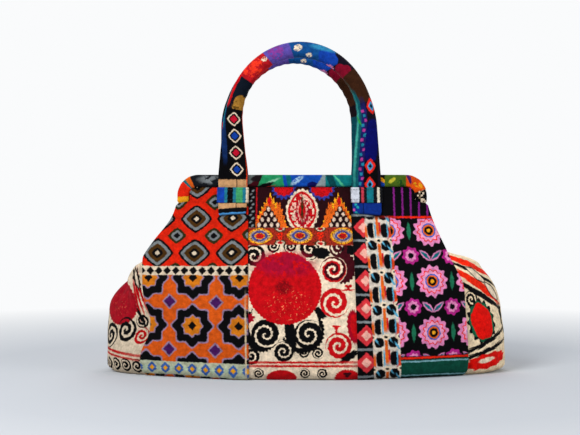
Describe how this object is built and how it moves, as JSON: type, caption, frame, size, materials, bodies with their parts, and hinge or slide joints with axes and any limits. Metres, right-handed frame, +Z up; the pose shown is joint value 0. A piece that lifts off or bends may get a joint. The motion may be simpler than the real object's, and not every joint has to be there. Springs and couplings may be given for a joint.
{
  "type": "carpet bag",
  "caption": "Velvet carpet bag with a cloth-wrapped hinged frame, lapped front panels, tucked gusset ends and rolled top handles",
  "frame": {"origin": "The middle of the bag's footprint, on the surface that it stands on.", "axes": "X runs along the bag from its left end to its right end as seen from the front, Y from the front to the back, and Z up."},
  "size_m": [0.4826, 0.212, 0.393],
  "materials": {
    "printed_velvet": "short-pile printed velvet",
    "lining_cloth": "plain black cotton",
    "cord_filling": "twisted cotton cord",
    "frame_steel": "plain bent bar",
    "rivet_steel": "plain",
    "magnet_plate": "nickel plated",
    "board": "stiff bag board"
  },
  "bodies": {
    "bag": {"front_middle_panel": "printed_velvet", "front_left_panel": "printed_velvet", "front_right_panel": "printed_velvet", "back_middle_panel": "printed_velvet", "back_left_panel": "printed_velvet", "back_right_panel": "printed_velvet", "left_gusset": "printed_velvet", "right_gusset": "printed_velvet", "base_cloth": "printed_velvet", "base_board": "board", "lining_floor": "lining_cloth", "front_lining": "lining_cloth", "back_lining": "lining_cloth", "left_lining_end": "lining_cloth", "right_lining_end": "lining_cloth", "left_hinge_rivet": "rivet_steel", "right_hinge_rivet": "rivet_steel"},
    "front_half": {"front_frame_bar": "frame_steel", "front_frame_wrap": "printed_velvet", "front_facing": "lining_cloth", "front_magnet": "magnet_plate", "front_handle_cover": "printed_velvet", "front_handle_core": "cord_filling", "front_left_keeper": "printed_velvet", "front_right_keeper": "printed_velvet"},
    "back_half": {"back_frame_bar": "frame_steel", "back_frame_wrap": "printed_velvet", "back_facing": "lining_cloth", "back_magnet": "magnet_plate", "back_handle_cover": "printed_velvet", "back_handle_core": "cord_filling", "back_left_keeper": "printed_velvet", "back_right_keeper": "printed_velvet"}
  },
  "joints": [
    {"name": "front_half_opens", "type": "hinge", "parent": "bag", "child": "front_half", "pos_m": [0, 0, 0.193], "axis": [1, 0, 0], "range_deg": [0, 45], "deforming": ["front_middle_panel", "front_left_panel", "front_right_panel", "front_lining", "left_gusset", "right_gusset", "left_lining_end", "right_lining_end"]},
    {"name": "back_half_opens", "type": "hinge", "parent": "bag", "child": "back_half", "pos_m": [0, 0, 0.193], "axis": [-1, 0, 0], "range_deg": [0, 45], "deforming": ["back_middle_panel", "back_left_panel", "back_right_panel", "back_lining", "left_gusset", "right_gusset", "left_lining_end", "right_lining_end"]}
  ]
}
